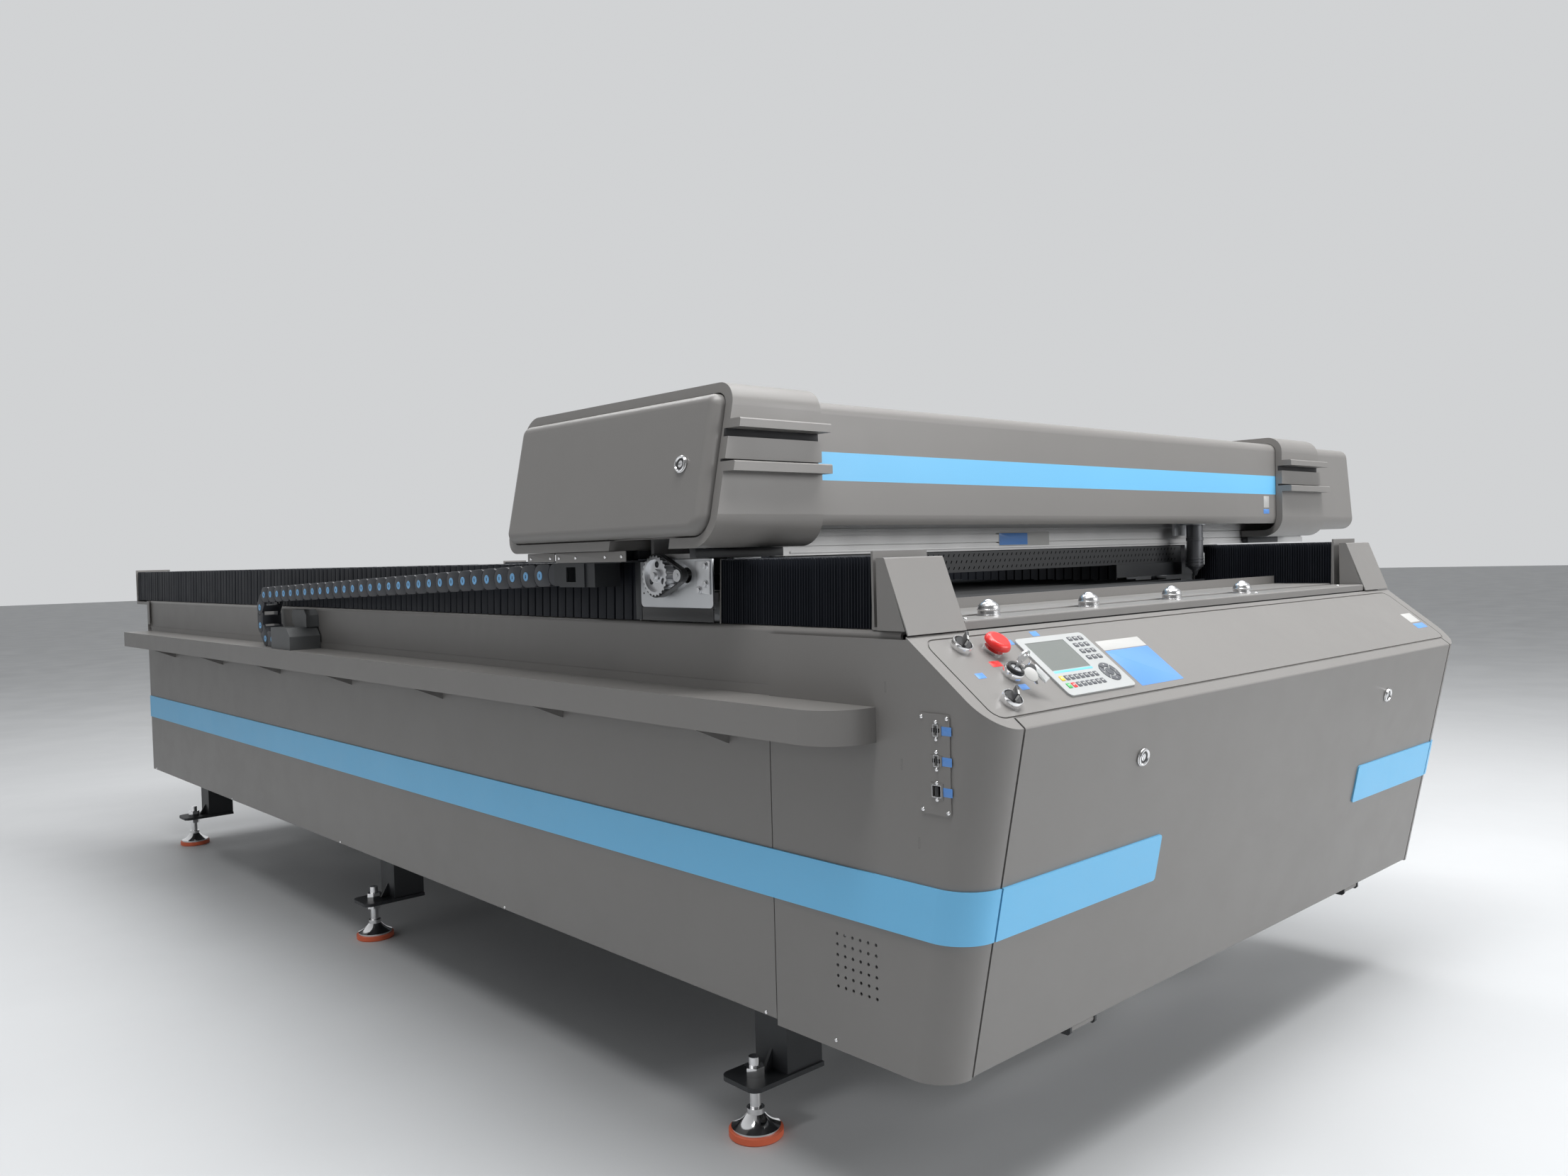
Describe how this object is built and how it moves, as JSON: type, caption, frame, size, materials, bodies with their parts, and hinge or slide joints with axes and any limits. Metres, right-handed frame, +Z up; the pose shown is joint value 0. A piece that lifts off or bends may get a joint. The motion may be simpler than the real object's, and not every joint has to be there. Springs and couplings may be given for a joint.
{
  "type": "carbon dioxide laser cutting machine",
  "caption": "Large-format flatbed laser cutter: sheet-metal bed on levelling feet, sloping control desk, bellows-covered rails and a covered travelling gantry with a cutting head.",
  "frame": {"origin": "middle of the overall box's footprint, on the floor under the feet", "axes": "+X to the operator's right, +Y from the control desk to the rear of the bed, +Z up"},
  "size_m": [2.3852, 3.9064, 1.232],
  "materials": {
    "frame_paint": "satin black powder coat",
    "body_paint": "satin warm grey powder coat",
    "stripe_blue": "satin light blue",
    "black_rubber": "matt",
    "zinc_steel": "zinc plated",
    "polished_chrome": "polished",
    "raw_aluminium": "anodised, matt",
    "black_plastic": "fine texture",
    "red_plastic": "glossy",
    "key_plastic": "satin membrane",
    "screen_glass": "clear window over a dark display",
    "bellows_cloth": "coated cloth, matt",
    "tube_glass": "clear",
    "ball_steel": "polished ball"
  },
  "bodies": {
    "base": {"base_frame": "frame_paint", "foot_pads": "black_rubber", "foot_bases": "polished_chrome", "rail_beams": "body_paint", "linear_guides": "zinc_steel", "track_belts": "black_rubber", "corner_panel_left": "body_paint", "corner_panel_right": "body_paint", "side_skirts": "body_paint", "rear_panel": "body_paint", "side_stripes": "stripe_blue", "console_frame": "body_paint", "console_plate": "body_paint", "keypad_panel": "key_plastic", "keypad_screen": "screen_glass", "keypad_keys": "key_plastic", "switch_bezels": "polished_chrome", "deck_plate": "body_paint", "ball_cups": "polished_chrome", "rail_end_covers": "body_paint", "bellows_front": "bellows_cloth", "bellows_rear": "bellows_cloth", "chain_tray": "body_paint", "chain_anchor": "black_plastic", "chain_lower": "black_plastic", "worktable_slats": "frame_paint", "worktable_frame": "zinc_steel", "io_plate": "raw_aluminium", "cabinet_units": "raw_aluminium"},
    "gantry": {"gantry_collars": "body_paint", "beam_cover": "body_paint", "cover_band": "stripe_blue", "gantry_beam": "raw_aluminium", "carriages": "raw_aluminium", "drive_motor": "black_plastic", "beam_guard": "frame_paint", "laser_tube": "tube_glass", "chain_bracket": "frame_paint", "chain_upper": "black_plastic"},
    "chain_bend": {"chain_bend": "black_plastic"},
    "drive_shaft": {"drive_shaft": "zinc_steel"},
    "motor_pinion": {"motor_pinion": "zinc_steel"},
    "head": {"head_carriage": "raw_aluminium"},
    "lens": {"lens_tube": "raw_aluminium"},
    "door": {"front_door": "body_paint", "door_stripes": "stripe_blue"},
    "door_lock_left": {"door_lock_left": "polished_chrome"},
    "door_lock_right": {"door_lock_right": "polished_chrome"},
    "pan_left": {"end_pan_left": "body_paint"},
    "pan_right": {"end_pan_right": "body_paint"},
    "pan_lock_left": {"pan_lock_left": "polished_chrome"},
    "pan_lock_right": {"pan_lock_right": "polished_chrome"},
    "estop": {"estop_button": "red_plastic"},
    "selector_rear": {"selector_rear": "black_plastic"},
    "selector_front": {"selector_front": "black_plastic"},
    "key": {"key_rotor": "zinc_steel"},
    "ball_1": {"ball_1": "ball_steel"},
    "ball_2": {"ball_2": "ball_steel"},
    "ball_3": {"ball_3": "ball_steel"},
    "ball_4": {"ball_4": "ball_steel"}
  },
  "joints": [
    {"name": "gantry_slide", "type": "slide", "parent": "base", "child": "gantry", "axis": [0, 1, 0], "range_m": [0, 2.5], "deforming": ["bellows_front", "bellows_rear", "chain_upper", "chain_lower"]},
    {"name": "chain_bend_slide", "type": "slide", "parent": "gantry", "child": "chain_bend", "axis": [0, 1, 0], "range_m": [-1.26, 0]},
    {"name": "shaft_spin", "type": "hinge", "parent": "gantry", "child": "drive_shaft", "pos_m": [-0.28863, -1.27515, 0.936], "axis": [-1, 0, 0], "range_deg": [-5, 9000]},
    {"name": "pinion_spin", "type": "hinge", "parent": "gantry", "child": "motor_pinion", "pos_m": [-1.08863, -1.33415, 0.936], "axis": [-1, 0, 0], "range_deg": [-5, 30600]},
    {"name": "head_slide", "type": "slide", "parent": "gantry", "child": "head", "axis": [1, 0, 0], "range_m": [-1.24, 0.015]},
    {"name": "focus_slide", "type": "slide", "parent": "head", "child": "lens", "axis": [0, 0, 1], "range_m": [-0.005, 0.015]},
    {"name": "door_swing", "type": "hinge", "parent": "base", "child": "door", "pos_m": [-0.28863, -1.84134, 0.246], "axis": [1, 0, 0], "range_deg": [0, 95]},
    {"name": "pan_left_swing", "type": "hinge", "parent": "gantry", "child": "pan_left", "pos_m": [-1.15754, -0.90815, 1.10632], "axis": [-0.2055, 0, -0.9787], "range_deg": [0, 90]},
    {"name": "pan_right_swing", "type": "hinge", "parent": "gantry", "child": "pan_right", "pos_m": [1.15828, -0.91165, 1.10632], "axis": [-0.2055, 0, 0.9787], "range_deg": [0, 90]},
    {"name": "door_lock_left_turn", "type": "hinge", "parent": "door", "child": "door_lock_left", "pos_m": [-0.74563, -1.93719, 0.656], "axis": [0, -0.9802, -0.1981], "range_deg": [0, 90]},
    {"name": "door_lock_right_turn", "type": "hinge", "parent": "door", "child": "door_lock_right", "pos_m": [0.16837, -1.93719, 0.656], "axis": [0, -0.9802, -0.1981], "range_deg": [0, 90]},
    {"name": "pan_lock_left_turn", "type": "hinge", "parent": "pan_left", "child": "pan_lock_left", "pos_m": [-1.1731, -1.41215, 1.10803], "axis": [-0.9787, 0, 0.2055], "range_deg": [0, 90]},
    {"name": "pan_lock_right_turn", "type": "hinge", "parent": "pan_right", "child": "pan_lock_right", "pos_m": [1.17384, -1.41215, 1.10803], "axis": [0.9787, 0, 0.2055], "range_deg": [0, 90]},
    {"name": "estop_press", "type": "slide", "parent": "base", "child": "estop", "axis": [0, 0.6143, -0.7891], "range_m": [0, 0.005], "stiffness_N_per_m": 600, "springref_m": -0.002},
    {"name": "selector_rear_turn", "type": "hinge", "parent": "base", "child": "selector_rear", "pos_m": [-1.02463, -1.82848, 0.83206], "axis": [0, -0.6143, 0.7891], "range_deg": [-60, 0]},
    {"name": "selector_front_turn", "type": "hinge", "parent": "base", "child": "selector_front", "pos_m": [-1.03163, -1.91527, 0.76449], "axis": [0, -0.6143, 0.7891], "range_deg": [-60, 0]},
    {"name": "key_turn", "type": "hinge", "parent": "base", "child": "key", "pos_m": [-0.97663, -1.87819, 0.79336], "axis": [0, -0.6143, 0.7891], "range_deg": [-90, 0]},
    {"name": "ball_1_roll", "type": "hinge", "parent": "base", "child": "ball_1", "pos_m": [-0.86363, -1.75415, 0.881], "axis": [1, 0, 0], "continuous": true},
    {"name": "ball_2_roll", "type": "hinge", "parent": "base", "child": "ball_2", "pos_m": [-0.59563, -1.75415, 0.881], "axis": [1, 0, 0], "continuous": true},
    {"name": "ball_3_roll", "type": "hinge", "parent": "base", "child": "ball_3", "pos_m": [-0.32763, -1.75415, 0.881], "axis": [1, 0, 0], "continuous": true},
    {"name": "ball_4_roll", "type": "hinge", "parent": "base", "child": "ball_4", "pos_m": [-0.05963, -1.75415, 0.881], "axis": [1, 0, 0], "continuous": true}
  ],
  "couplings": [
    {"joint": "chain_bend_slide", "follows": "gantry_slide", "ratio": -0.5},
    {"joint": "shaft_spin", "follows": "gantry_slide", "rad_per_m": 62.5},
    {"joint": "pinion_spin", "follows": "gantry_slide", "rad_per_m": 212.5}
  ]
}
